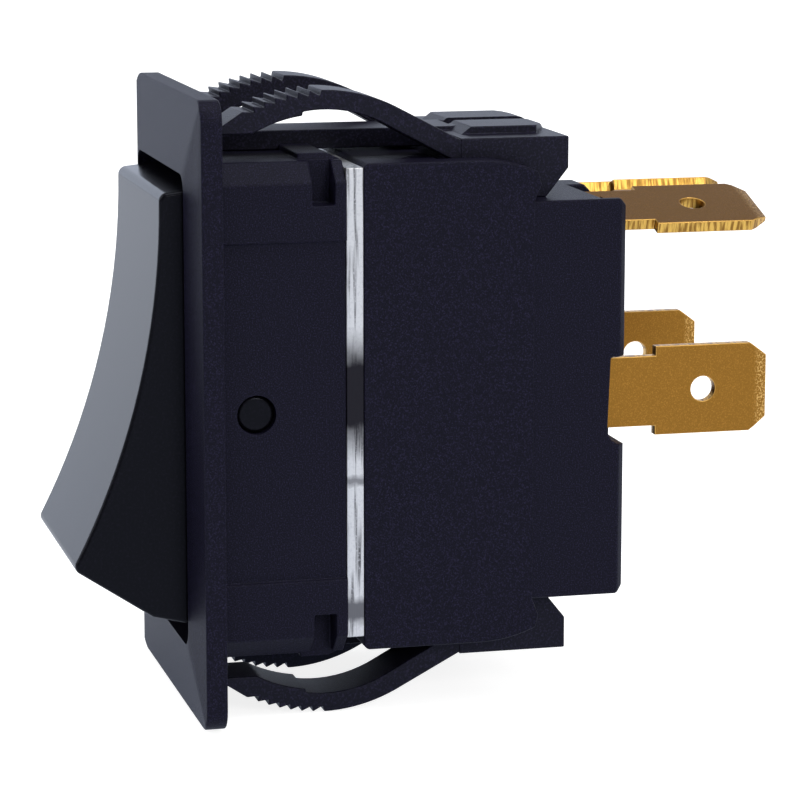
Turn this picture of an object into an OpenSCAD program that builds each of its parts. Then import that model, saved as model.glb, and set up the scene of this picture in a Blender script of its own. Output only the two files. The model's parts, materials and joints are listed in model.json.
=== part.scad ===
// Snap-in panel rocker switch, double pole, off-on, with four 6.35 mm quick-connect blades.
// X is the width, -Y the rocker's side, +Y the terminals' side, +Z the end that is pressed at rest.
// The origin is the middle of the bezel's back face, the face that seats on the panel.

/* [Bezel] */
// Width of the bezel
bezel_w = 25.1; // [24:0.1:28]
// Height of the bezel
bezel_h = 43.1; // [42.5:0.1:46]
// Thickness of the bezel at its outer edge
bezel_edge_t = 1.45; // [1.2:0.05:1.7]
// Thickness of the bezel round the opening
bezel_t = 2.05; // [1.8:0.05:2.3]
// Radius of the bezel's corners
bezel_r = 1.5; // [0.8:0.1:2.5]

/* [Housing] */
// Width of the body behind the bezel
body_w = 20.6; // [20.4:0.1:21]
// Height of the body behind the bezel
body_h = 34.2; // [34:0.1:34.8]
// Depth of the upper housing, from the bezel to the steel plate
housing_d = 8.85; // [8.7:0.05:9]
// Width of the opening the rocker sits in
opening_w = 18; // [17.8:0.1:18.2]
// Height of the opening the rocker sits in
opening_h = 32.6; // [32.4:0.1:32.8]
// Radius of the opening's corners
opening_r = 1.2; // [1:0.1:1.3]
// Height of the raised pads' outer faces above the sides
pad_t = 0.3; // [0.2:0.05:0.4]
// Diameter of the pivot holes
pivot_d = 2.7; // [2.5:0.1:2.9]
// Depth of the pivot axis behind the panel face
pivot_y = 2.6; // [2.5:0.05:2.7]

/* [Rocker] */
// Width of the rocker
rocker_w = 17.2; // [16.8:0.1:17.4]
// Tilt to either side of the middle position
tilt = 13.8; // [12.5:0.1:13.8]
// Radius of the rocker's end faces about the pivot
rocker_end_r = 15.75; // [15.5:0.05:15.8]
// Distance from the pivot to the middle of the hollow front
rocker_front = 7.95; // [7.6:0.05:8.2]
// Radius of the hollow front
rocker_hollow_r = 53; // [48:1:70]
// Wall thickness of the rocker
rocker_wall = 1.5; // [1.2:0.1:1.8]

/* [Plate and base] */
// Thickness of the steel plate
plate_t = 1.2; // [1:0.05:1.3]
// Upper end of the steel plate
plate_top = 16.65; // [16:0.05:16.8]
// Lower end of the steel plate
plate_bottom = -15.9; // [-16.8:0.05:-15.6]
// Height of the base's front part
base_h = 33.8; // [33.6:0.1:34]
// Height of the base's rear block
block_h = 28; // [27.8:0.1:28.2]
// Rear face of the base
base_rear = 28.9; // [28.6:0.1:29.5]

/* [Wings] */
// Width of each spring arm
arm_w = 4.15; // [3.6:0.05:4.3]
// Thickness of an arm at its crest
arm_t = 1.35; // [1.1:0.05:1.5]
// Height of the arms' crest above the middle
crest_z = 21.75; // [21.4:0.05:22]
// Radius of the arms' outer curve
arm_r = 11.5; // [11.2:0.1:12]
// Number of teeth on each arm
teeth = 7; // [4:1:7]
// Depth of a tooth
tooth_depth = 0.42; // [0.2:0.02:0.5]

/* [Terminals] */
// Width of a blade
blade_w = 6.35; // [6:0.05:6.5]
// Thickness of a blade
blade_t = 0.8; // [0.7:0.05:0.85]
// Distance from the panel face to a blade's tip
blade_tip = 40.1; // [39:0.1:42]
// Roof angle of the two upper blades
roof = 17.5; // [10:0.5:20]

/* [Contacts] */
// Tilt of the contact levers to either side of the middle
lever_tilt = 6.5; // [5.5:0.1:6.5]
// Width of a contact lever
lever_w = 4.2; // [3.6:0.1:4.2]
// Diameter of the plungers
plunger_d = 3; // [2.6:0.1:3]
// Diameter of a contact button
button_d = 3; // [2.4:0.1:3.2]

/* [Hidden] */
$fn = 48;

nylon = [0.12, 0.12, 0.15];
phenolic = [0.14, 0.14, 0.17];
steel = [0.66, 0.67, 0.68];
brass = [0.72, 0.55, 0.25];
silver = [0.85, 0.85, 0.83];
acetal = [0.9, 0.9, 0.87];

far = 60;                        // longer than anything here, for cutters
fit = 0.05;                      // clearance of a sliding or running fit
arc_steps = 8;                   // straight steps in a quarter turn of a plain rounding

well_floor = 6.6;                // bottom of the rocker's well at its two ends
well_pass_h = 24;                // height of the passage between the end floors
plate_y = housing_d;             // front face of the steel plate
base_y = plate_y + plate_t;      // front face of the base
ear_rear = 22.6;                 // rear edge of the base's side ears
ear_x = 8.4;                     // inner face of the ears
cross_end = 15.8;                // end of the base's full-height front part
cavity_floor = 20.7;             // floor of the contact chambers
boss_floor = 19.4;               // raised floor under the fixed contacts
cavity_h = 24.8;                 // height of the contact chambers
barrier_w = 1.8;                 // wall between the two chambers

pole_x = 5.05;                   // middle of each pole
blade_x = 7.67;                  // middle of a centre blade's thickness
upper_z = 12.5;                  // middle of an upper blade
shoulder_y = 31.75;              // where a blade widens behind its neck
neck_w = 5;                      // width of a blade's neck
eye_y = 35.3;                    // hole in a blade
eye_d = 1.8;
tip_len = 1.3;                   // corner cut at a blade's tip
tip_cut = 0.95;
coin_len = 0.9;                  // coined slope on both faces of a blade's tip
coin_t = 0.22;
pad_drop = 5;                    // reach of an upper terminal's pad below the blade

lever_y = 17.4;                  // axis the levers rock about
knuckle_d = 1.4;                 // round knuckle under a lever
cup_angle = 10;                  // slope of the lever's cup, where the plunger slides
cup_half = 4.6;                  // half length of the cup
lever_half = 11;                 // half length of a lever
lever_t = 0.8;
ball_r = plunger_d / 2;          // round end of a plunger
ball_y = 12;                     // middle of that end, from the rocker's pivot
lever_clear = 0.11;              // closest a plunger's end comes to the cup in the middle
cup_y = pivot_y + ball_y + ball_r / cos(cup_angle) + lever_clear;
cup_edge_y = cup_y - cup_half * tan(cup_angle);

stem_end = 8.8;                  // rear end of the rocker's stem, from the pivot
stem_half_z = 2.4;
bore_end = 1.0;                  // blind end of a spring bore, from the pivot
plunger_rear = 5.2;              // spring end of a plunger, from the pivot
wire_d = 0.4;
spring_d = 2.1;                  // mean diameter of a spring
spring_turns = 5;

// A flat outline in X and Z, made solid from y0 to y1
module along_y(y0, y1) {
    translate([0, y1, 0]) rotate([90, 0, 0]) linear_extrude(y1 - y0) children();
}

// A flat outline in Y and Z, made solid from x0 to x1
module along_x(x0, x1) {
    translate([x0, 0, 0]) rotate([90, 0, 90]) linear_extrude(x1 - x0) children();
}

// A box between two corners
module block(low, high) {
    translate(low) cube(high - low);
}

// The points of an arc about (a, b)
function arc(a, b, r, from, to, steps) =
    [for (i = [0:steps]) let (t = from + (to - from) * i / steps) [a + r * cos(t), b + r * sin(t)]];

// A rectangle about the middle with rounded corners
function round_rect(w, h, r) = concat(
    arc(w / 2 - r, h / 2 - r, r, 0, 90, arc_steps),
    arc(r - w / 2, h / 2 - r, r, 90, 180, arc_steps),
    arc(r - w / 2, r - h / 2, r, 180, 270, arc_steps),
    arc(w / 2 - r, r - h / 2, r, 270, 360, arc_steps));

// A rectangle about the middle with cut corners
function cut_rect(w, h, c) = [
    [w / 2 - c, h / 2], [c - w / 2, h / 2], [-w / 2, h / 2 - c], [-w / 2, c - h / 2],
    [c - w / 2, -h / 2], [w / 2 - c, -h / 2], [w / 2, c - h / 2], [w / 2, h / 2 - c]];

// A block whose width and height change evenly from the plane y0 to the plane y1
module taper(w0, h0, w1, h1, y0, y1) {
    intersection() {
        translate([0, 0, -far / 2]) linear_extrude(far)
            polygon([[-w0 / 2, y0], [w0 / 2, y0], [w1 / 2, y1], [-w1 / 2, y1]]);
        along_x(-far / 2, far / 2)
            polygon([[y0, -h0 / 2], [y0, h0 / 2], [y1, h1 / 2], [y1, -h1 / 2]]);
    }
}

// The bezel, the walls of the upper housing and its pivot holes: one moulding
module bezel_frame() {
    slot_y = [6.5, 8.05];
    slot_z = 14.15;
    pad_z = 11.7;
    lip_x = [2.6, 8.6];
    color(nylon) difference() {
        union() {
            intersection() {
                along_y(-bezel_t, 0) polygon(round_rect(bezel_w, bezel_h, bezel_r));
                union() {
                    block([-far, -bezel_edge_t, -far], [far, 0, far]);
                    taper(opening_w, opening_h, bezel_w, bezel_h, -bezel_t, -bezel_edge_t);
                }
            }
            along_y(0, housing_d) polygon(cut_rect(body_w, body_h, 1.1));
            for (side = [-1, 1]) intersection() {
                along_y(0, housing_d) polygon(cut_rect(body_w + 2 * pad_t, body_h, 1.4));
                block([-far, 0, side > 0 ? pad_z : -far], [far, housing_d, side > 0 ? far : -pad_z]);
            }
            // latch lips on either side of each wing's rib
            for (x = [0, 1], z = [0, 1]) mirror([x, 0, 0]) mirror([0, 0, z])
                along_x(lip_x[0], lip_x[1]) polygon([[5.9, body_h / 2 - 0.1],
                    [5.9, body_h / 2 + 0.45], [7.9, body_h / 2 + 0.45], [housing_d, body_h / 2],
                    [housing_d, body_h / 2 - 0.1]]);
        }
        along_y(-far, well_floor) polygon(round_rect(opening_w, opening_h, opening_r));
        block([-opening_w / 2, 0, -well_pass_h / 2], [opening_w / 2, far, well_pass_h / 2]);
        translate([0, pivot_y, 0]) rotate([0, 90, 0]) cylinder(d = pivot_d, h = far, center = true);
        for (x = [-1, 1], z = [-1, 1]) mirror([x > 0 ? 0 : 1, 0, 0]) mirror([0, 0, z > 0 ? 0 : 1]) {
            block([8.7, slot_y[0], slot_z], [far, slot_y[1], far]);
            latch_post(fit);
        }
    }
}

// The rocker's side outline about its pivot, in the middle position
module rocker_outline() {
    hollow = [-rocker_front - rocker_hollow_r, 0];
    end_slope = 19.8;                // slope of the flat part of an end face
    end_turn = 12.5;                 // where that flat part leaves the circle about the pivot
    tip_r = 0.6;
    start = rocker_end_r * [-sin(end_turn), cos(end_turn)];
    outwards = [-cos(end_slope), -sin(end_slope)];
    inwards = [sin(end_slope), -cos(end_slope)];
    // the tip's round touches the flat from inside and the hollow front from behind
    gap = rocker_hollow_r + tip_r;
    from = start + tip_r * inwards - hollow;
    run = -from * outwards - sqrt(pow(from * outwards, 2) - from * from + gap * gap);
    tip = start + run * outwards + tip_r * inwards;
    difference() {
        polygon(mirrored([start + (run + 3) * outwards, start, [0, start[1]], [0, 8], [3.4, 4.2]]));
        translate(hollow) circle(r = rocker_hollow_r, $fn = 360);
        for (side = [0, 1]) mirror([0, side]) difference() {
            polygon([tip, tip - tip_r * inwards, tip - tip_r * inwards + 2 * outwards,
                     hollow + (tip - hollow) * (rocker_hollow_r / gap)]);
            translate(tip) circle(r = tip_r);
        }
    }
}

// Everything the rocker carries is drawn about its pivot and turned to the rest position
module with_rocker() {
    translate([0, pivot_y, 0]) rotate([-tilt, 0, 0]) children();
}

// The rocker: shell, trunnions and the stem with the two spring bores
module rocker() {
    half = rocker_w / 2;
    stem_half_x = plunger_d / 2 + 1.1;
    color(nylon) with_rocker() difference() {
        union() {
            difference() {
                along_x(-half, half) rocker_outline();
                along_x(rocker_wall - half, half - rocker_wall) difference() {
                    circle(r = rocker_end_r - rocker_wall);
                    translate([-rocker_front - rocker_hollow_r, 0])
                        circle(r = rocker_hollow_r + rocker_wall, $fn = 360);
                }
            }
            rotate([0, 90, 0]) cylinder(d = pivot_d - 2 * fit, h = body_w - 0.7, center = true);
            for (x = [-pole_x, pole_x]) {
                block([x - stem_half_x, -rocker_front + 0.8, -stem_half_z],
                      [x + stem_half_x, stem_end, stem_half_z]);
                along_x(x - 0.5, x + 0.5) polygon([[-7.3, -12], [-7.3, 12], [-6, 12], [1.5, 2],
                    [1.5, -2], [-6, -12]]);
            }
        }
        for (x = [-pole_x, pole_x]) translate([x, bore_end, 0])
            rotate([-90, 0, 0]) cylinder(d = plunger_d + 2 * fit, h = far);
    }
}

// A spring-loaded plunger with a round nose
module plunger(x) {
    color(acetal) with_rocker() translate([x, 0, 0]) rotate([-90, 0, 0]) {
        translate([0, 0, plunger_rear]) cylinder(d = plunger_d, h = ball_y - plunger_rear);
        intersection() {
            translate([0, 0, ball_y]) sphere(r = ball_r);
            translate([0, 0, ball_y]) cylinder(r = 2 * ball_r, h = 2 * ball_r);
        }
    }
}

// A coil spring between the blind end of its bore and its plunger
module spring(x) {
    sides = 8;
    steps = 16;
    length = plunger_rear - bore_end - wire_d - 0.02;
    count = spring_turns * steps;
    rings = [for (i = [0:count]) let (turn = 360 * i / steps, up = length * i / count)
        [for (j = [0:sides - 1]) let (out = spring_d / 2 + wire_d / 2 * cos(360 * j / sides))
            [out * cos(turn), out * sin(turn), up + wire_d / 2 * sin(360 * j / sides)]]];
    points = [for (ring = rings) each ring];
    walls = [for (i = [0:count - 1], j = [0:sides - 1]) let (k = (j + 1) % sides)
        [i * sides + j, i * sides + k, (i + 1) * sides + k, (i + 1) * sides + j]];
    ends = [[for (j = [sides - 1:-1:0]) j], [for (j = [0:sides - 1]) count * sides + j]];
    color(steel) with_rocker() translate([x, bore_end + wire_d / 2 + 0.01, 0])
        rotate([-90, 0, 0]) polyhedron(points, concat(walls, ends));
}

// One of the base's four posts, which pass through the plate into the housing's end floors
module latch_post(grow) {
    translate([6.4, 0, 14.3]) block([-1 - grow, 7.2 - grow, -0.6 - grow],
        [1 + grow, base_y + 0.2, 0.6 + grow]);
}

// The steel plate between the housing and the base
module mounting_plate() {
    color(steel) difference() {
        block([-10.4, plate_y, plate_bottom], [10.4, base_y, plate_top]);
        block([-8.3, 0, -9.5], [8.3, far, 9.5]);
        for (x = [-1, 1], z = [-1, 1])
            mirror([x > 0 ? 0 : 1, 0, 0]) mirror([0, 0, z > 0 ? 0 : 1]) latch_post(fit);
    }
}

// Upper half of the base's side outline, with the ear that flanks a wing's root
function ear_half() = let (top = base_h / 2, bend = 9.8) concat(
    [[base_y, 0], [base_y, top - 0.3], [base_y + 0.3, top]],
    [for (i = [0:6]) let (t = 4 * i) [18.4 + bend * sin(t), top - bend * (1 - cos(t))]],
    [[ear_rear, top - 1.75], [ear_rear - 0.45, block_h / 2], [ear_rear - 0.45, 0]]);

// Where a wing's tongue sits in the base
module tongue(grow) {
    block([-1.8 - grow, 19 - grow, block_h / 2 - 0.9 - grow],
          [1.8 + grow, 21.5 + grow, block_h / 2 + 0.1]);
}

// The phenolic base with its two contact chambers
module base() {
    half = body_w / 2 + 0.05;
    block_half = 10.2;
    rear_r = 0.5;
    color(phenolic) difference() {
        union() {
            for (z = [-1, 1]) mirror([0, 0, z > 0 ? 0 : 1]) difference() {
                along_x(-half, half) polygon(ear_half());
                block([-ear_x, cross_end, block_h / 2], [ear_x, far, far]);
            }
            intersection() {
                along_x(-block_half, block_half)
                    polygon([[base_y, -block_h / 2], [base_y, block_h / 2],
                        [base_rear - rear_r, block_h / 2], [base_rear, block_h / 2 - rear_r],
                        [base_rear, rear_r - block_h / 2], [base_rear - rear_r, -block_h / 2]]);
                translate([0, 0, -far / 2]) linear_extrude(far) polygon([[-block_half, 0],
                    [-block_half, base_rear - rear_r], [rear_r - block_half, base_rear],
                    [block_half - rear_r, base_rear], [block_half, base_rear - rear_r], [block_half, 0]]);
            }
            for (x = [-1, 1], z = [-1, 1])
                mirror([x > 0 ? 0 : 1, 0, 0]) mirror([0, 0, z > 0 ? 0 : 1]) latch_post(0);
        }
        for (x = [-1, 1]) mirror([x > 0 ? 0 : 1, 0, 0]) {
            // contact chamber, with a raised floor under the fixed contact
            difference() {
                block([barrier_w / 2, 0, -cavity_h / 2], [9, cavity_floor, cavity_h / 2]);
                block([0, boss_floor, 7], [far, far, far]);
            }
            // way out for the centre blade, and the notch it shows in
            block([blade_x - blade_t / 2 - fit, 0, -neck_w / 2 - fit],
                  [blade_x + blade_t / 2 + fit, far, neck_w / 2 + fit]);
            centre_notch();
            // way out for the upper blade, and the recess round it
            upper_frame() {
                block([-neck_w / 2 - fit, 17, -blade_t / 2 - fit],
                      [neck_w / 2 + fit, far, blade_t / 2 + fit]);
                block([-neck_w / 2 - fit, 17, -pad_drop - fit],
                      [neck_w / 2 + fit, boss_floor, blade_t / 2 + fit]);
            }
            block([1.5, 27.2, 10.8], [9.5, far, far]);
        }
        for (z = [-1, 1]) mirror([0, 0, z > 0 ? 0 : 1]) tongue(fit);
    }
}

// Notch in the base's rear edge round a centre blade, rounded towards the lower end
module centre_notch() {
    along_x(6.4, far) polygon(concat([[27.8, 2.9], [far, 2.9]], [[far, -3.4]],
        arc(base_rear - 0.2, -2.2, 1.1, 270, 180, 4)));
}

// A wing's arm, seen from the side, for the upper wing
module arm_outline() {
    crest_y = 7.7;
    centre_z = crest_z - arm_r;
    down = 26.5;                       // slope of the outer line at the root
    pitch = 4.05;                      // angle between teeth
    tip_y = 0.5;
    tip_z = centre_z + sqrt(pow(arm_r, 2) - pow(crest_y - tip_y, 2));
    flat_z = tip_z - 0.35;             // flat underside of the lead-in
    step_y = 6.4;                      // where the toothed stretch gets thicker
    thick_r = arm_r - arm_t - 0.3;
    inner_r = 8.9;
    inner_y = 7.9;
    inner_z = crest_z - arm_t - inner_r;
    inner_down = 29.7;
    tooth = [for (k = [teeth:-1:1]) let (t = 90 + pitch * k, next = t - pitch)
        each [[crest_y + arm_r * cos(t), centre_z + arm_r * sin(t)],
              [crest_y + (arm_r - tooth_depth) * cos(next + 0.4),
               centre_z + (arm_r - tooth_depth) * sin(next + 0.4)]]];
    start = 90 + asin((step_y - inner_y) / inner_r) * -1;
    stop = 90 + asin((crest_y - step_y) / thick_r);
    flat_t = 180 - asin((flat_z - centre_z) / thick_r);
    polygon(concat([[tip_y, tip_z]], tooth,
        arc(crest_y, centre_z, arm_r, 90, 90 - down, 10), [[19, 17.3], [19, 15.6]],
        arc(inner_y, inner_z, inner_r, 90 - inner_down, start, 10),
        arc(crest_y, centre_z, thick_r, stop, flat_t, 6), [[tip_y, flat_z]]));
}

// A snap-in wing: a root on the base's end, two toothed spring arms and a rib between them
module wing() {
    root_half = 8.15;
    top = 18.2;
    seat = block_h / 2;
    rear = 25.2;
    rise = 0.55;
    round_r = 1.2;
    rib_half = 2.45;
    rib_top = 18.5;
    color(nylon) {
        for (side = [0, 1]) mirror([side, 0, 0]) along_x(root_half - 0.05 - arm_w, root_half - 0.05)
            arm_outline();
        along_x(-root_half, root_half) polygon([[17.5, seat], [17.5, top], [rear, top],
            [rear, seat + 2], [rear - 1.6, seat]]);
        // rib that lies on the housing between the arms
        along_x(-rib_half, rib_half) polygon([[0.3, body_h / 2 + fit], [0.3, rib_top - 0.3],
            [0.6, rib_top], [18.6, rib_top], [18.6, body_h / 2 + fit]]);
        // raised grip on the root, cut back at its rear corners
        intersection() {
            along_x(-5.6, 5.6) polygon(concat([[18.2, top - 0.1], [18.2, top], [18.9, top + rise]],
                arc(rear - round_r, top + rise - round_r, round_r, 90, 0, 5)));
            translate([0, 0, top - 0.1]) linear_extrude(2)
                polygon([[-5.6, 18], [5.6, 18], [5.6, 23.6], [1.9, rear], [-1.9, rear], [-5.6, 23.6]]);
            union() {
                block([-far, 0, 0], [-0.9, far, far]);
                block([0.9, 0, 0], [far, far, far]);
            }
        }
        tongue(0);
    }
}

module wing_upper() {
    wing();
}

module wing_lower() {
    mirror([0, 0, 1]) wing();
}

// Half of a blade's flat outline in Y and its width, from its neck to its tip
function blade_half(start) = [[start, neck_w / 2], [shoulder_y, neck_w / 2],
    [shoulder_y, blade_w / 2], [blade_tip - tip_len, blade_w / 2],
    [blade_tip, blade_w / 2 - tip_cut]];

function mirrored(half) = concat(half, [for (i = [len(half) - 1:-1:0]) [half[i][0], -half[i][1]]]);

// A blade with its neck, flat in Y and Z, with a coined tip
module blade(start) {
    half = blade_t / 2;
    difference() {
        intersection() {
            along_x(-half, half) polygon(mirrored(blade_half(start)));
            translate([0, 0, -far / 2]) linear_extrude(far) polygon([[-half, 0],
                [-half, blade_tip - coin_len], [coin_t - half, blade_tip],
                [half - coin_t, blade_tip], [half, blade_tip - coin_len], [half, 0]]);
        }
        translate([0, eye_y, 0]) rotate([0, 90, 0]) cylinder(d = eye_d, h = far, center = true);
    }
}

// The centre terminal: blade, floor and two ears that cradle the lever, stamped in one piece
module centre_terminal() {
    ear_front = 16.6;
    ear_half = 2.4;
    floor_x = [2, blade_x - blade_t / 2 + 0.1];
    color(brass) difference() {
        union() {
            translate([blade_x, 0, 0]) blade(cavity_floor - blade_t);
            block([blade_x - blade_t / 2, ear_front, -ear_half],
                  [blade_x + blade_t / 2, cavity_floor - 0.01, ear_half]);
            block([floor_x[0], cavity_floor - blade_t, -ear_half],
                  [floor_x[1], cavity_floor, ear_half]);
            block([floor_x[0], ear_front, -ear_half],
                  [floor_x[0] + blade_t, cavity_floor - 0.01, ear_half]);
        }
        translate([0, lever_y, 0]) rotate([0, 90, 0]) cylinder(d = knuckle_d + 2 * fit, h = far);
        block([0, 0, -knuckle_d / 2 - fit], [far, lever_y, knuckle_d / 2 + fit]);
    }
}

// The frame of an upper blade: X along its width, Z across its thickness
module upper_frame() {
    translate([pole_x, 0, upper_z]) rotate([0, roof, 0]) children();
}

// The upper terminal: blade and the pad that carries the fixed contact
module upper_terminal() {
    pad_y = boss_floor - blade_t;
    color(brass) upper_frame() {
        rotate([0, 90, 0]) blade(pad_y + 0.01);
        block([-neck_w / 2, pad_y, -pad_drop], [neck_w / 2, boss_floor, blade_t / 2]);
    }
}

// The fixed contact button on an upper terminal
module fixed_contact() {
    contact_face = moving_face + 0.03;
    color(silver) translate([pole_x, 0, contact_z]) rotate([-90, 0, 0])
        translate([0, 0, contact_face]) cylinder(d = button_d, h = boss_floor - blade_t - contact_face);
}

// The levers rock about lever_y; children are drawn in the middle position
module with_lever(angle) {
    translate([0, lever_y, 0]) rotate([angle, 0, 0]) translate([0, -lever_y, 0]) children();
}

lever_end_y = cup_edge_y - (lever_half - cup_half) * tan(lever_tilt);
contact_s = 9.3;                 // place of the moving button along the lever
contact_y = cup_edge_y - (contact_s - cup_half) * tan(lever_tilt);
button_h = 0.9;
// the button's face and place when the lever is closed
moving_face = lever_y + (contact_y - lever_y) * cos(lever_tilt) + contact_s * sin(lever_tilt)
    + lever_t + button_h;
contact_z = contact_s * cos(lever_tilt) - (contact_y - lever_y) * sin(lever_tilt);

// A contact lever: a bent copper strip with a round knuckle under its middle
module lever() {
    t = lever_t;
    front = [[lever_end_y, -lever_half], [cup_edge_y, -cup_half], [cup_y, 0],
             [cup_edge_y, cup_half], [lever_end_y, lever_half]];
    rear = [for (i = [4:-1:0]) front[i] + [t, 0]];
    color(brass) with_lever(lever_tilt) {
        along_x(pole_x - lever_w / 2, pole_x + lever_w / 2) polygon(concat(front, rear));
        translate([pole_x, lever_y, 0]) rotate([0, 90, 0])
            cylinder(d = knuckle_d, h = 2 * (blade_x + blade_t / 2 - pole_x), center = true);
    }
}

// The moving contact button, square to the lever's outer stretch
module moving_contact() {
    color(silver) with_lever(2 * lever_tilt) translate([pole_x, moving_face - button_h, contact_z])
        rotate([-90, 0, 0]) cylinder(d = button_d, h = button_h);
}

// The same piece on the left side
module left() {
    mirror([1, 0, 0]) children();
}

bezel_frame();
rocker();
mounting_plate();
base();
wing_upper();
wing_lower();
centre_terminal();  // centre_terminal_right
left() centre_terminal();  // centre_terminal_left
upper_terminal();  // upper_terminal_right
left() upper_terminal();  // upper_terminal_left
fixed_contact();  // fixed_contact_right
left() fixed_contact();  // fixed_contact_left
lever();  // lever_right
left() lever();  // lever_left
moving_contact();  // moving_contact_right
left() moving_contact();  // moving_contact_left
plunger(pole_x);  // plunger_right
plunger(-pole_x);  // plunger_left
spring(pole_x);  // spring_right
spring(-pole_x);  // spring_left
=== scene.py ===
# %% [markdown]
# # Dressing a snap-in panel rocker switch
# The switch is a handful of moulded and stamped pieces: a bezel with its housing, a rocker, a steel plate,
# a base, two toothed spring wings and four brass blades. The frame already holds every piece at its true size
# and place, so this lesson adds what makes them look made: softened edges, grain, sheen and wear. The two
# coil springs inside are drawn anew, as smooth wire.

# %% Load the frame
import json
import math

import bmesh
import bpy
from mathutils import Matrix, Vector


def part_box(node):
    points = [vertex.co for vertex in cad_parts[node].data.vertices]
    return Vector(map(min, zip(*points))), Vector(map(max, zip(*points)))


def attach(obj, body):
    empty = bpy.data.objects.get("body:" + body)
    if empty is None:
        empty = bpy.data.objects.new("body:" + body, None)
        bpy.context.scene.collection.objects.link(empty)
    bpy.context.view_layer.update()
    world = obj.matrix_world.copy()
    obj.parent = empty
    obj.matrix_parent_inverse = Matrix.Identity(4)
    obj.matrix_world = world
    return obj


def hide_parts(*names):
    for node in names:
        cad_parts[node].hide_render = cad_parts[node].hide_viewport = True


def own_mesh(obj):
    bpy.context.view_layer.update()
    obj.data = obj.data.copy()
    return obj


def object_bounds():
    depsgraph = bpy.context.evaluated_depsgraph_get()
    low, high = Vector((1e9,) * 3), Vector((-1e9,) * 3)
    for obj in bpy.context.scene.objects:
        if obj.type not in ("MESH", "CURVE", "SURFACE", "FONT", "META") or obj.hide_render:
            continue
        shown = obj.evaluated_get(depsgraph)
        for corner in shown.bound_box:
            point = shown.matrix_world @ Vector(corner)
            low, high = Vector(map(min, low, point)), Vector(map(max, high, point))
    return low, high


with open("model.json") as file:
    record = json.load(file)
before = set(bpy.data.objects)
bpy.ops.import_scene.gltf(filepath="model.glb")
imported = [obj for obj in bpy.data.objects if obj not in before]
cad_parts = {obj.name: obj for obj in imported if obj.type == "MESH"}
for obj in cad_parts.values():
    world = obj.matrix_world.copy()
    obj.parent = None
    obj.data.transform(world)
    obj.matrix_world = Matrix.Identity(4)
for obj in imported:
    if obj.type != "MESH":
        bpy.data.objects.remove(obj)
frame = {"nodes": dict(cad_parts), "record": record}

mm = 0.001
cad_nodes = frame["nodes"]
body_of_node = {
    node: body
    for body, members in frame["record"]["behaviour"]["bodies"].items()
    for node in members
}
slot_of_node = {row["node"]: row["material_slot"] for row in frame["record"]["subparts"]}
cad_low, cad_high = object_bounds()
switch_middle = (cad_low + cad_high) / 2
print("the switch measures, in mm:", [round(side / mm, 1) for side in cad_high - cad_low])

# %% [markdown]
# ## Camera
# A long lens held well back keeps the sides of a small object nearly parallel, which is how such parts are
# pictured. The camera looks at the right side from slightly in front and slightly above. It is aimed from
# three plain numbers, azimuth, elevation and distance, so that it stays readable.

# %% Camera
view_azimuth = math.radians(75.82)
view_elevation = math.radians(10.46)
view_distance = 235.4 * mm
lens_length = 147.6
aim_point = switch_middle + Vector((0, 0.1, -1.36)) * mm

to_camera = Vector((
    math.sin(view_azimuth) * math.cos(view_elevation),
    -math.cos(view_azimuth) * math.cos(view_elevation),
    math.sin(view_elevation),
))
camera_data = bpy.data.cameras.new("studio_camera")
camera_data.lens = lens_length
camera_data.sensor_width = 36
camera_data.clip_start = 10 * mm
camera = bpy.data.objects.new("studio_camera", camera_data)
camera.location = aim_point + to_camera * view_distance
camera.rotation_mode = "QUATERNION"
camera.rotation_quaternion = (-to_camera).to_track_quat("-Z", "Y")
bpy.context.scene.collection.objects.link(camera)
bpy.context.scene.camera = camera
bpy.context.scene.view_settings.view_transform = "Standard"
print("the camera stands", round(view_distance / mm), "mm from the middle of the switch")

# %% [markdown]
# ## Floor, backdrop, world and lamps
# Black plastic shows almost nothing but what it mirrors. A tall backdrop on the far side gives the bezel, the
# rocker and every ledge their pale sheen, while the camera's side stays dim, so the flanks keep their depth.
# The lamps are large, soft and far off. The camera sees the floor, the backdrop and the world as plain white,
# and the floor still keeps a soft shadow. Rays off a glossy surface or through glass see the floor and the
# backdrop glow in a pale blue, stronger than white on the backdrop, and the world in its own soft light.

# %% Node helpers
def add_node(tree, kind, **settings):
    """A new node in the tree. A setting named after an input gives that input its value."""
    node = tree.nodes.new(kind)
    for name, value in settings.items():
        if hasattr(node, name):
            setattr(node, name, value)
        else:
            node.inputs[name].default_value = value
    return node


def join(tree, output, target):
    """Link an output to an input of the same tree."""
    tree.links.new(output, target)


def backdrop_ray(tree):
    """1 for a ray from the camera, off a glossy surface or through glass, and 0 for the rest."""
    path = add_node(tree, "ShaderNodeLightPath")
    total = path.outputs["Is Camera Ray"]
    for ray in ("Is Glossy Ray", "Is Transmission Ray"):
        larger = add_node(tree, "ShaderNodeMath", operation="MAXIMUM")
        join(tree, total, larger.inputs[0])
        join(tree, path.outputs[ray], larger.inputs[1])
        total = larger.outputs[0]
    return total


# %% World
world_light = 0.35
world = bpy.data.worlds.new("studio_air")
bpy.context.scene.world = world
world.use_nodes = True
air = world.node_tree
air.nodes.clear()
soft_air = add_node(air, "ShaderNodeBackground", Color=(0.93, 0.95, 1.0, 1), Strength=world_light)
white_air = add_node(air, "ShaderNodeBackground", Color=(1, 1, 1, 1), Strength=1.0)
air_choice = add_node(air, "ShaderNodeMixShader")
air_out = add_node(air, "ShaderNodeOutputWorld")
camera_only = add_node(air, "ShaderNodeLightPath")
join(air, camera_only.outputs["Is Camera Ray"], air_choice.inputs[0])
join(air, soft_air.outputs[0], air_choice.inputs[1])
join(air, white_air.outputs[0], air_choice.inputs[2])
join(air, air_choice.outputs[0], air_out.inputs[0])
print("the world gives", world_light, "of plain light")

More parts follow.
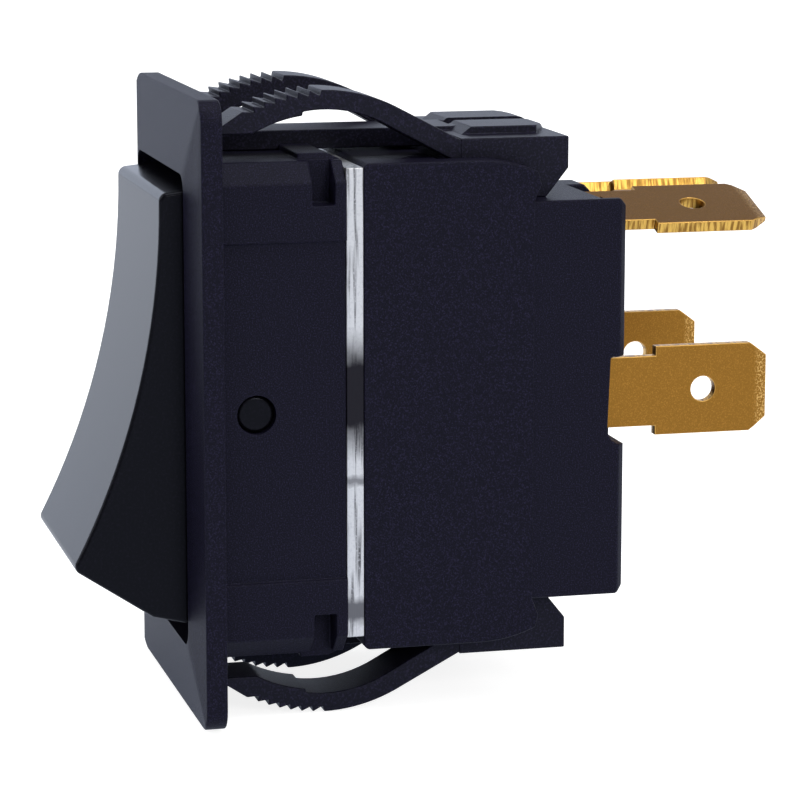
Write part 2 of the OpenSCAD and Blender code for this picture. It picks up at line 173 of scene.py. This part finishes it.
# %% Floor and backdrop
floor_z = cad_low.z - 0.05 * mm
floor_reach = 1.5
backdrop_x = -0.75
backdrop_reach = 1.3
backdrop_top = 0.42
mirrored_hue = (0.71, 0.80, 1.0)


def studio_sheet(name, corners, matt, glow):
    """A flat matt sheet for the stage, which glows white for the camera and pale blue for gloss and glass."""
    mesh = bpy.data.meshes.new(name)
    mesh.from_pydata(corners, [], [(0, 1, 2, 3)])
    sheet = bpy.data.objects.new(name, mesh)
    bpy.context.scene.collection.objects.link(sheet)
    finish = bpy.data.materials.new(name)
    finish.use_nodes = True
    paint = finish.node_tree
    paint.nodes.clear()
    plain = add_node(paint, "ShaderNodeBsdfDiffuse", Color=(matt, matt, matt, 1))
    lit = add_node(paint, "ShaderNodeEmission", Strength=glow)
    seen = add_node(paint, "ShaderNodeLightPath")
    hue = add_node(paint, "ShaderNodeMix", data_type="RGBA")
    hue.inputs["A"].default_value = (*mirrored_hue, 1)
    hue.inputs["B"].default_value = (1, 1, 1, 1)
    join(paint, seen.outputs["Is Camera Ray"], hue.inputs["Factor"])
    join(paint, hue.outputs["Result"], lit.inputs["Color"])
    unlit = add_node(paint, "ShaderNodeEmission", Color=(0, 0, 0, 1), Strength=0.0)
    choice = add_node(paint, "ShaderNodeMixShader")
    both = add_node(paint, "ShaderNodeAddShader")
    out = add_node(paint, "ShaderNodeOutputMaterial")
    join(paint, backdrop_ray(paint), choice.inputs[0])
    join(paint, unlit.outputs[0], choice.inputs[1])
    join(paint, lit.outputs[0], choice.inputs[2])
    join(paint, plain.outputs[0], both.inputs[0])
    join(paint, choice.outputs[0], both.inputs[1])
    join(paint, both.outputs[0], out.inputs[0])
    mesh.materials.append(finish)


studio_sheet(
    "studio_floor",
    [
        (-floor_reach, -floor_reach, floor_z),
        (floor_reach, -floor_reach, floor_z),
        (floor_reach, floor_reach, floor_z),
        (-floor_reach, floor_reach, floor_z),
    ],
    matt=0.5,
    glow=0.84,
)
studio_sheet(
    "studio_backdrop",
    [
        (backdrop_x, -backdrop_reach, floor_z),
        (backdrop_x, backdrop_reach, floor_z),
        (backdrop_x, backdrop_reach, backdrop_top),
        (backdrop_x, -backdrop_reach, backdrop_top),
    ],
    matt=0.4,
    glow=1.42,
)
print("the floor lies at z =", round(floor_z / mm, 2), "mm")

# %% Lamps
def softbox(name, place, side, power, tint):
    """A square lamp at a place in metres, with its side in metres too, facing the middle of the switch."""
    lamp_data = bpy.data.lights.new(name, "AREA")
    lamp_data.shape = "RECTANGLE"
    lamp_data.size = side
    lamp_data.size_y = side
    lamp_data.energy = power
    lamp_data.color = tint
    lamp = bpy.data.objects.new(name, lamp_data)
    lamp.location = place
    lamp.rotation_mode = "QUATERNION"
    lamp.rotation_quaternion = (Vector(place) - switch_middle).to_track_quat("Z", "Y")
    bpy.context.scene.collection.objects.link(lamp)


softbox("lamp_front", (-0.10, -0.84, 0.60), 0.80, 5.5, (0.97, 0.98, 1.0))
softbox("lamp_overhead", (0.20, 0.10, 0.96), 0.60, 5.5, (0.96, 0.98, 1.0))
softbox("lamp_rear", (0.36, 0.90, 0.50), 0.50, 2.6, (1.0, 0.98, 0.95))
softbox("lamp_side", (1.00, 0.28, 0.45), 0.30, 4.0, (1.0, 0.99, 0.97))

# %% [markdown]
# ## Softened edges
# A moulded or stamped edge is never perfectly sharp: it carries a small radius, and that thin line of light
# tells the eye how the piece was made. The CAD meshes are loose triangles with knife edges, so each visible
# piece is a merged copy whose flat faces are made whole again and whose sharp edges are then bevelled. One
# width doesn't suit every edge: a step of 0.05 mm can't carry a radius of 0.3 mm. So each edge first measures
# the room beside it, and the Bevel modifier takes its width from that, as a weight. The copy stands for the
# CAD node and rides on the same body.

# %% How wide may an edge be rounded
merge_gap = 0.002 * mm
flat_angle = math.radians(0.6)
sharp_angle = math.radians(28)
fold_angle = math.radians(177)
run_angle = math.radians(40)
least_room = 1e-7
room_share = 0.45


def room_beside(loop):
    """How far a line that starts at this edge can move into its face before it meets the outline."""
    start, end = loop.vert.co, loop.link_loop_next.vert.co
    middle = (start + end) / 2
    along = (end - start).normalized()
    inward = loop.face.normal.cross(along)
    room = math.inf
    for side in loop.face.loops:
        near, far = side.vert.co - middle, side.link_loop_next.vert.co - middle
        if side != loop and (near.dot(along) > 0) != (far.dot(along) > 0):
            share = near.dot(along) / (near - far).dot(along)
            depth = near.lerp(far, share).dot(inward)
            if depth > least_room:
                room = min(room, depth)
    return room


def widest_bevel(edge, bevelled):
    """The widest bevel that this edge can carry without running into its neighbours."""
    room = min(room_beside(loop) for loop in edge.link_loops)
    for corner in edge.verts:
        along = edge.other_vert(corner).co - corner.co
        for other in corner.link_edges:
            if other in bevelled or not set(other.link_faces) & set(edge.link_faces):
                continue
            away = other.other_vert(corner).co - corner.co
            room = min(room, away.length * math.sin(along.angle(away)))
    return room_share * room


def even_widths(edges, widths):
    """Edges that run on from one another without a corner take the narrowest width among them."""
    runs = []
    for edge in edges:
        for corner in edge.verts:
            onward = corner.co - edge.other_vert(corner).co
            for other in corner.link_edges:
                if other in edges and other is not edge:
                    if onward.angle(other.other_vert(corner).co - corner.co) < run_angle:
                        runs.append((edge, other))
    settled = False
    while not settled:
        settled = True
        for edge, other in runs:
            if widths[edge] < widths[other]:
                widths[other] = widths[edge]
                settled = False


# %% Clean copy of a CAD mesh
def cut_fins(shape):
    """Where two faces fold back on each other with nothing between them, the fin is drawn in to its root."""
    roots = {}
    for fold in shape.edges:
        if fold.calc_face_angle(0) > fold_angle:
            for corner in fold.verts:
                sides = [edge for edge in corner.link_edges if edge is not fold]
                roots[corner] = min(sides, key=lambda edge: edge.calc_length()).other_vert(corner)
    if roots:
        bmesh.ops.weld_verts(shape, targetmap=roots)
    return len(roots)


def middle_of(edge):
    """The point halfway along an edge."""
    return (edge.verts[0].co + edge.verts[1].co) / 2


def softened(node, rules, steps=3):
    """A copy of the CAD node with rounded edges. Each rule is a test on an edge and its radius."""
    shape = bmesh.new()
    shape.from_mesh(cad_nodes[node].data)
    weight = shape.edges.layers.float.new("bevel_weight_edge")
    bmesh.ops.remove_doubles(shape, verts=shape.verts, dist=merge_gap)
    dissolve = dict(angle_limit=flat_angle, use_dissolve_boundaries=False)
    bmesh.ops.dissolve_limit(shape, verts=shape.verts, edges=shape.edges, **dissolve)
    fins = cut_fins(shape)
    bevelled = {edge for edge in shape.edges if edge.calc_face_angle(0) > sharp_angle}
    widths = {}
    for edge in bevelled:
        radius = next(radius for test, radius in rules if test(edge))
        widths[edge] = min(radius, widest_bevel(edge, bevelled))
    even_widths(bevelled, widths)
    for edge, width in widths.items():
        edge[weight] = width / mm
    sharp_mesh = bpy.data.meshes.new(node + "_sharp")
    shape.to_mesh(sharp_mesh)
    shape.free()
    for _ in ("faces", "rounded edges"):
        sharp_mesh.materials.append(None)
    helper = bpy.data.objects.new(node + "_sharp", sharp_mesh)
    bpy.context.scene.collection.objects.link(helper)
    bevel = helper.modifiers.new("rounding", "BEVEL")
    bevel.limit_method = "WEIGHT"
    bevel.width = 1.0 * mm
    bevel.segments = steps
    bevel.use_clamp_overlap = False
    bevel.material = 1
    graph = bpy.context.evaluated_depsgraph_get()
    mesh = bpy.data.meshes.new_from_object(helper.evaluated_get(graph))
    bpy.data.objects.remove(helper)
    mesh.name = node + "_dressed"
    print(node, "has", len(bevelled), "rounded edges,", len(mesh.polygons), "faces and", fins, "fin corners")
    return mesh


# %% Marks on the faces
sheared_lean = 0.6


def mark_faces(mesh, flat=None):
    """Write 1 on the rounded edges, and on the sheared faces of a strip whose flat side faces `flat`."""
    edge_mark = mesh.attributes.new("edge", "FLOAT", "FACE").data
    cut_mark = mesh.attributes.new("sheared", "FLOAT", "FACE").data
    for face in mesh.polygons:
        edge_mark[face.index].value = float(face.material_index == 1)
        if flat is not None:
            cut_mark[face.index].value = float(abs(face.normal.dot(flat)) < sheared_lean)
        face.material_index = 0
        face.use_smooth = True
    mesh.materials.clear()


def dress(node, rules, flat=None):
    """The softened copy as a piece of the switch, with even shading over its flat faces."""
    mesh = softened(node, rules)
    mark_faces(mesh, flat)
    piece = bpy.data.objects.new(node + "_dressed", mesh)
    bpy.context.scene.collection.objects.link(piece)
    mesh.set_sharp_from_angle(angle=sharp_angle)
    even = piece.modifiers.new("even_normals", "WEIGHTED_NORMAL")
    even.keep_sharp = True
    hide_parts(node)
    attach(piece, body_of_node[node])
    return piece


# %% Rules for the edges
bezel_front_y = -1.3 * mm


def every(radius):
    """One rule, with a radius in millimetres, that holds for every edge."""
    return [(lambda edge: True, radius * mm)]


def bezel_front(edge):
    """The outer edges of the bezel's front, and the edge of its opening."""
    return middle_of(edge).y < bezel_front_y


# %% Pieces that show
roof_angle = math.radians(17.5)
flat_of = {
    "centre_terminal_right": Vector((1, 0, 0)),
    "centre_terminal_left": Vector((1, 0, 0)),
    "upper_terminal_right": Vector((math.sin(roof_angle), 0, math.cos(roof_angle))),
    "upper_terminal_left": Vector((-math.sin(roof_angle), 0, math.cos(roof_angle))),
}
dressed = {
    "bezel_frame": dress("bezel_frame", [(bezel_front, 0.32 * mm)] + every(0.12)),
    "rocker": dress("rocker", every(0.3)),
    "mounting_plate": dress("mounting_plate", every(0.08)),
    "base": dress("base", every(0.15)),
    "wing_upper": dress("wing_upper", every(0.1)),
    "wing_lower": dress("wing_lower", every(0.1)),
}
for node, flat in flat_of.items():
    dressed[node] = dress(node, every(0.06), flat)

# %% [markdown]
# ## Finishes
# Each finish is one Principled shader. The fine grain, which they all share, is a node group with its own
# input, placed in each material with that material's value.

# %% Grain group
def new_group(name, inputs, outputs):
    """An empty shader group with float inputs and outputs, and its two end nodes."""
    group = bpy.data.node_groups.new(name, "ShaderNodeTree")
    for title, value in inputs.items():
        socket = group.interface.new_socket(title, in_out="INPUT", socket_type="NodeSocketFloat")
        socket.default_value = value
    for title in outputs:
        group.interface.new_socket(title, in_out="OUTPUT", socket_type="NodeSocketFloat")
    return group, add_node(group, "NodeGroupInput"), add_node(group, "NodeGroupOutput")


# The speckle output gives the plastics lighter specks, painted in as glints, and gives the metals a mottled
# tone.
grain_group, grain_in, grain_out = new_group("mould_grain", {"Grains per mm": 6.0}, ("Height", "Speckle and glint"))
grain_place = add_node(grain_group, "ShaderNodeTexCoord")
per_metre = add_node(grain_group, "ShaderNodeMath", operation="MULTIPLY")
per_metre.inputs[1].default_value = 1 / mm
fine_noise = add_node(grain_group, "ShaderNodeTexNoise", Detail=3.0, Roughness=0.65)
speckle_and_glint_band = add_node(grain_group, "ShaderNodeMapRange")
speckle_and_glint_band.inputs["From Min"].default_value = 0.50
speckle_and_glint_band.inputs["From Max"].default_value = 0.72
join(grain_group, grain_in.outputs["Grains per mm"], per_metre.inputs[0])
join(grain_group, per_metre.outputs[0], fine_noise.inputs["Scale"])
join(grain_group, grain_place.outputs["Object"], fine_noise.inputs["Vector"])
join(grain_group, fine_noise.outputs["Fac"], grain_out.inputs["Height"])
join(grain_group, fine_noise.outputs["Fac"], speckle_and_glint_band.inputs["Value"])
join(grain_group, speckle_and_glint_band.outputs[0], grain_out.inputs["Speckle and glint"])


# %% Colour helpers
def blend_colour(tree, factor, low, high):
    """Mix two colours, each of them a colour or the output of another node."""
    mix = add_node(tree, "ShaderNodeMix", data_type="RGBA")
    join(tree, factor, mix.inputs["Factor"])
    for socket, colour in (("A", low), ("B", high)):
        if isinstance(colour, tuple):
            mix.inputs[socket].default_value = (*colour, 1)
        else:
            join(tree, colour, mix.inputs[socket])
    return mix.outputs["Result"]


def band(tree, value, start, end):
    """0 below start, 1 above end, and a straight ramp between them."""
    ramp = add_node(tree, "ShaderNodeMapRange")
    ramp.inputs["From Min"].default_value = start
    ramp.inputs["From Max"].default_value = end
    join(tree, value, ramp.inputs["Value"])
    return ramp.outputs[0]


# %% Moulded plastic
def new_finish(name):
    """A material with an empty tree, its Principled shader and its output."""
    finish = bpy.data.materials.new(name)
    finish.use_nodes = True
    tree = finish.node_tree
    tree.nodes.clear()
    shader = add_node(tree, "ShaderNodeBsdfPrincipled")
    out = add_node(tree, "ShaderNodeOutputMaterial")
    join(tree, shader.outputs[0], out.inputs[0])
    return finish, tree, shader


def grain_in_tree(tree, grains):
    """The shared grain, placed in a material with so many grains to the millimetre."""
    grain = add_node(tree, "ShaderNodeGroup")
    grain.node_tree = grain_group
    grain.inputs["Grains per mm"].default_value = grains
    return grain


def raise_surface(tree, shader, height, strength, depth):
    """Let a height stand out from the surface of a shader."""
    relief = add_node(tree, "ShaderNodeBump", Strength=strength, Distance=depth)
    join(tree, height, relief.inputs["Height"])
    join(tree, relief.outputs["Normal"], shader.inputs["Normal"])


def moulded(name, dark, light, rough, grains, bump, specular):
    """Matt moulded plastic: a dark colour with lighter specks painted in as glints, and a fine grain in its
    surface.
    """
    finish, tree, shader = new_finish(name)
    shader.inputs["Roughness"].default_value = rough
    shader.inputs["Specular IOR Level"].default_value = specular
    shader.inputs["Specular Tint"].default_value = (0.80, 0.84, 1.0, 1)
    grain = grain_in_tree(tree, grains)
    join(tree, blend_colour(tree, grain.outputs["Speckle and glint"], dark, light), shader.inputs["Base Color"])
    raise_surface(tree, shader, grain.outputs["Height"], bump, 0.03 * mm)
    finishes[name] = finish


finishes = {}
# The lighter speck colours are painted glints on the dark plastic.
night = (0.003, 0.0025, 0.007)
glint_speck = (0.022, 0.019, 0.048)
moulded("frame_nylon", night, glint_speck, rough=0.5, grains=10, bump=1.0, specular=0.11)
moulded("base_phenolic", night, glint_speck, rough=0.5, grains=10, bump=1.0, specular=0.11)
jet = (0.002, 0.002, 0.003)
coal = (0.006, 0.005, 0.009)
moulded("rocker_nylon", jet, coal, rough=0.27, grains=5, bump=0.1, specular=0.09)
wing_night = (0.004, 0.0035, 0.008)
wing_glint_speck = (0.02, 0.017, 0.04)
moulded("wing_nylon", wing_night, wing_glint_speck, rough=0.45, grains=6, bump=0.6, specular=0.14)
moulded("plunger_acetal", (0.6, 0.58, 0.52), (0.7, 0.68, 0.62), rough=0.35, grains=4, bump=0.1, specular=0.5)


# %% Streak group
streak_group, streak_in, streak_out = new_group(
    "drawn_streaks", {"Across per mm": 3.0, "Along per mm": 0.14}, ("Streak",)
)
streak_place = add_node(streak_group, "ShaderNodeTexCoord")
split = add_node(streak_group, "ShaderNodeSeparateXYZ")
joined = add_node(streak_group, "ShaderNodeCombineXYZ")
join(streak_group, streak_place.outputs["Object"], split.inputs[0])
for axis, title in (("X", "Across per mm"), ("Y", "Across per mm"), ("Z", "Along per mm")):
    stretch = add_node(streak_group, "ShaderNodeMath", operation="MULTIPLY")
    to_metres = add_node(streak_group, "ShaderNodeMath", operation="MULTIPLY")
    to_metres.inputs[1].default_value = 1 / mm
    join(streak_group, streak_in.outputs[title], to_metres.inputs[0])
    join(streak_group, split.outputs[axis], stretch.inputs[0])
    join(streak_group, to_metres.outputs[0], stretch.inputs[1])
    join(streak_group, stretch.outputs[0], joined.inputs[axis])
streak_noise = add_node(streak_group, "ShaderNodeTexNoise", Scale=1.0, Detail=3.0, Roughness=0.6)
join(streak_group, joined.outputs[0], streak_noise.inputs["Vector"])
join(streak_group, streak_noise.outputs["Fac"], streak_out.inputs["Streak"])


# %% Metals
def metal(name, dark, light, rough, grains, bump):
    """A plain metal with a fine grain in its colour and its surface."""
    finish, tree, shader = new_finish(name)
    shader.inputs["Metallic"].default_value = 1.0
    shader.inputs["Roughness"].default_value = rough
    grain = grain_in_tree(tree, grains)
    tone = blend_colour(tree, grain.outputs["Speckle and glint"], dark, light)
    join(tree, tone, shader.inputs["Base Color"])
    raise_surface(tree, shader, grain.outputs["Height"], bump, 0.02 * mm)
    finishes[name] = finish
    return tree, shader, tone


metal("lever_brass", (0.62, 0.42, 0.16), (0.8, 0.58, 0.26), rough=0.35, grains=5, bump=0.3)
metal("contact_silver", (0.7, 0.69, 0.66), (0.9, 0.89, 0.86), rough=0.3, grains=5, bump=0.3)
metal("spring_steel", (0.4, 0.4, 0.4), (0.6, 0.6, 0.6), rough=0.3, grains=5, bump=0.2)

# %% [markdown]
# ## Brass blades
# The blades are stamped from rolled brass strip. The rolled faces are dull and mottled, the sheared faces are
# bright with fine tear marks across them, and the coined tip is rough, with light specks painted on it as
# glints.
# The face attributes written earlier tell the finish which face is which, and the rounded edges are painted
# lighter, for wear and as a painted highlight.

# %% Brass
tree, shader, rolled = metal(
    "terminal_brass", (0.25, 0.118, 0.019), (0.38, 0.18, 0.032), rough=0.40, grains=10, bump=0.7
)
tears = add_node(tree, "ShaderNodeTexNoise", Scale=1.0, Detail=2.0)
tear_place = add_node(tree, "ShaderNodeTexCoord")
tear_size = add_node(tree, "ShaderNodeVectorMath", operation="MULTIPLY")
tear_size.inputs[1].default_value = (0.6 / mm, 4.6 / mm, 0.6 / mm)
join(tree, tear_place.outputs["Object"], tear_size.inputs[0])
join(tree, tear_size.outputs[0], tears.inputs["Vector"])
sheared = add_node(tree, "ShaderNodeAttribute", attribute_name="sheared")
worn_and_highlit_edge = add_node(tree, "ShaderNodeAttribute", attribute_name="edge")
tear_share = band(tree, tears.outputs["Fac"], 0.40, 0.58)
tear_tone = blend_colour(tree, tear_share, (0.24, 0.12, 0.025), (0.66, 0.40, 0.09))
tone = blend_colour(tree, sheared.outputs["Fac"], rolled, tear_tone)
# The rounded edges are painted a lighter brass, for wear and as a painted highlight.
tone = blend_colour(tree, worn_and_highlit_edge.outputs["Fac"], tone, (0.55, 0.31, 0.08))
blade_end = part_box("centre_terminal_right")[1].y
place = add_node(tree, "ShaderNodeSeparateXYZ")
join(tree, tear_place.outputs["Object"], place.inputs[0])
coined = band(tree, place.outputs["Y"], blade_end - 1.0 * mm, blade_end - 0.55 * mm)
# Painted glints: light specks of brass colour scattered over the coined tip.
painted_glint_noise = add_node(tree, "ShaderNodeTexNoise", Scale=8 / mm, Detail=2.0)
join(tree, tear_place.outputs["Object"], painted_glint_noise.inputs["Vector"])
glint_share = add_node(tree, "ShaderNodeMath", operation="MULTIPLY")
join(tree, band(tree, painted_glint_noise.outputs["Fac"], 0.48, 0.62), glint_share.inputs[0])
join(tree, coined, glint_share.inputs[1])
tone = blend_colour(tree, glint_share.outputs[0], tone, (0.66, 0.39, 0.12))
join(tree, tone, shader.inputs["Base Color"])
print("the brass knows its sheared faces and its coined tip")

# %% [markdown]
# ## Zinc-plated strip
# Only the sheared edge of the steel plate shows, as a bright line between the two mouldings. Shearing leaves
# long streaks in the metal. The strip is also painted darker in a wide band halfway up, in a grey patch below
# it and near its lower end.

# %% Zinc
zinc, tree, shader = new_finish("plate_steel")
shader.inputs["Metallic"].default_value = 0.85
shader.inputs["Roughness"].default_value = 0.42
streaks = add_node(tree, "ShaderNodeGroup")
streaks.node_tree = streak_group
fine = grain_in_tree(tree, 5.0)
streak_share = band(tree, streaks.outputs["Streak"], 0.36, 0.50)
tone = blend_colour(tree, streak_share, (0.08, 0.08, 0.085), (0.55, 0.55, 0.555))
tone = blend_colour(tree, fine.outputs["Speckle and glint"], tone, (0.45, 0.45, 0.47))
place = add_node(tree, "ShaderNodeSeparateXYZ")
zinc_place = add_node(tree, "ShaderNodeTexCoord")
join(tree, zinc_place.outputs["Object"], place.inputs[0])
band_edge_noise = add_node(tree, "ShaderNodeTexNoise", Scale=1.2 / mm, Detail=3.0)
join(tree, zinc_place.outputs["Object"], band_edge_noise.inputs["Vector"])
wander_reach = 1.0 * mm
wander = add_node(tree, "ShaderNodeMath", operation="MULTIPLY_ADD")
wander.inputs[1].default_value = wander_reach
join(tree, band_edge_noise.outputs["Fac"], wander.inputs[0])
join(tree, place.outputs["Z"], wander.inputs[2])


def tone_band_at(middle, reach, soft):
    """1 inside a stretch of the strip's length, fading out over a soft margin."""
    off = add_node(tree, "ShaderNodeMath", operation="SUBTRACT")
    off.inputs[1].default_value = middle + wander_reach / 2
    join(tree, wander.outputs[0], off.inputs[0])
    size = add_node(tree, "ShaderNodeMath", operation="ABSOLUTE")
    join(tree, off.outputs[0], size.inputs[0])
    return band(tree, size.outputs[0], reach, reach - soft)


plate_low, plate_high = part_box("mounting_plate")
# Three bands of darker colour are painted along the strip: a wide one halfway up, one near the lower end and
# a grey patch between them.
tone = blend_colour(tree, tone_band_at(1.1 * mm, 4.7 * mm, 2.8 * mm), tone, (0.012, 0.011, 0.015))
tone = blend_colour(tree, tone_band_at(plate_low.z + 1.9 * mm, 1.2 * mm, 0.7 * mm), tone, (0.12, 0.12, 0.13))
tone = blend_colour(tree, tone_band_at(-4.9 * mm, 0.5 * mm, 0.4 * mm), tone, (0.2, 0.2, 0.21))
join(tree, tone, shader.inputs["Base Color"])
raise_surface(tree, shader, streaks.outputs["Streak"], 0.6, 0.03 * mm)
finishes["plate_steel"] = zinc
print("the strip is", round((plate_high.z - plate_low.z) / mm, 1), "mm long")

# %% [markdown]
# ## Coil springs
# A coil spring is one wire that follows a helix, so Geometry Nodes make it: a spiral curve, a round profile
# swept along it, and a finish. The same tree makes both springs, with its sizes as named inputs. In the
# switch a spring rides in the rocker's bore and is squeezed towards its blind end when its plunger goes in;
# here each is drawn at one length and rides on its body whole.

# %% Spring tree
def spring_tree(finish):
    """A tree of Geometry Nodes that draws a helix of round wire, stood in its place."""
    tree = bpy.data.node_groups.new("coil_spring", "GeometryNodeTree")
    tree.interface.new_socket("Spring", in_out="OUTPUT", socket_type="NodeSocketGeometry")
    for title, kind in (
        ("Turns", "NodeSocketFloat"),
        ("Mean radius", "NodeSocketFloat"),
        ("Wire radius", "NodeSocketFloat"),
        ("Length", "NodeSocketFloat"),
        ("Start", "NodeSocketVector"),
        ("Lean", "NodeSocketVector"),
    ):
        tree.interface.new_socket(title, in_out="INPUT", socket_type=kind)
    sizes = add_node(tree, "NodeGroupInput")
    helix = add_node(tree, "GeometryNodeCurveSpiral", Resolution=32)
    ring = add_node(tree, "GeometryNodeCurvePrimitiveCircle", Resolution=12)
    wire = add_node(tree, "GeometryNodeCurveToMesh")
    wire.inputs["Fill Caps"].default_value = True
    stand = add_node(tree, "GeometryNodeTransform")
    real = add_node(tree, "GeometryNodeRealizeInstances")
    coat = add_node(tree, "GeometryNodeSetMaterial")
    coat.inputs["Material"].default_value = finish
    out = add_node(tree, "NodeGroupOutput")
    join(tree, sizes.outputs["Turns"], helix.inputs["Rotations"])
    join(tree, sizes.outputs["Mean radius"], helix.inputs["Start Radius"])
    join(tree, sizes.outputs["Mean radius"], helix.inputs["End Radius"])
    join(tree, sizes.outputs["Length"], helix.inputs["Height"])
    join(tree, sizes.outputs["Wire radius"], ring.inputs["Radius"])
    join(tree, helix.outputs["Curve"], wire.inputs["Curve"])
    join(tree, ring.outputs["Curve"], wire.inputs["Profile Curve"])
    join(tree, wire.outputs["Mesh"], stand.inputs["Geometry"])
    join(tree, sizes.outputs["Start"], stand.inputs["Translation"])
    join(tree, sizes.outputs["Lean"], stand.inputs["Rotation"])
    join(tree, stand.outputs["Geometry"], real.inputs["Geometry"])
    join(tree, real.outputs["Geometry"], coat.inputs["Geometry"])
    join(tree, coat.outputs["Geometry"], out.inputs["Spring"])
    return tree


# %% Two springs
joints = {joint["name"]: joint for joint in frame["record"]["behaviour"]["joints"]}
pivot = Vector(joints["rocker_tilt"]["pos_m"])
half_tilt = math.radians(sum(joints["rocker_tilt"]["range_deg"]) / 2)
bore_way = Vector((0, math.cos(half_tilt), -math.sin(half_tilt)))
spring_turns = 5.0
mean_radius = 1.05 * mm
wire_radius = 0.2 * mm
spring_length = 3.78 * mm
spring_start = 1.21 * mm
coil = spring_tree(finishes["spring_steel"])


def coil_spring(side):
    """The spring on one side, as a plain mesh drawn at one length, which rides on the body of its CAD node.
    """
    node = "spring_" + side
    low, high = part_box(node)
    start = Vector(((low.x + high.x) / 2, pivot.y, pivot.z)) + bore_way * spring_start
    helper = bpy.data.objects.new(node + "_tree", bpy.data.meshes.new(node + "_tree"))
    bpy.context.scene.collection.objects.link(helper)
    grower = helper.modifiers.new("coil", "NODES")
    grower.node_group = coil
    sizes = {
        "Turns": spring_turns,
        "Mean radius": mean_radius,
        "Wire radius": wire_radius,
        "Length": spring_length,
        "Start": start,
        "Lean": Vector((-math.pi / 2 - half_tilt, 0, 0)),
    }
    for socket in coil.interface.items_tree:
        if socket.in_out == "INPUT":
            grower[socket.identifier] = sizes[socket.name]
    graph = bpy.context.evaluated_depsgraph_get()
    mesh = bpy.data.meshes.new_from_object(helper.evaluated_get(graph))
    bpy.data.objects.remove(helper)
    spring = bpy.data.objects.new(node + "_dressed", mesh)
    bpy.context.scene.collection.objects.link(spring)
    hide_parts(node)
    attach(spring, body_of_node[node])
    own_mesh(spring)
    print(node, "has", len(mesh.polygons), "faces")
    return spring


for side in ("right", "left"):
    dressed["spring_" + side] = coil_spring(side)

# %% Every piece gets its finish
for node, cad in cad_nodes.items():
    finish = finishes[slot_of_node[node]]
    if node in dressed:
        dressed[node].data.materials.clear()
        dressed[node].data.materials.append(finish)
    else:
        for slot in cad.material_slots:
            slot.material = finish
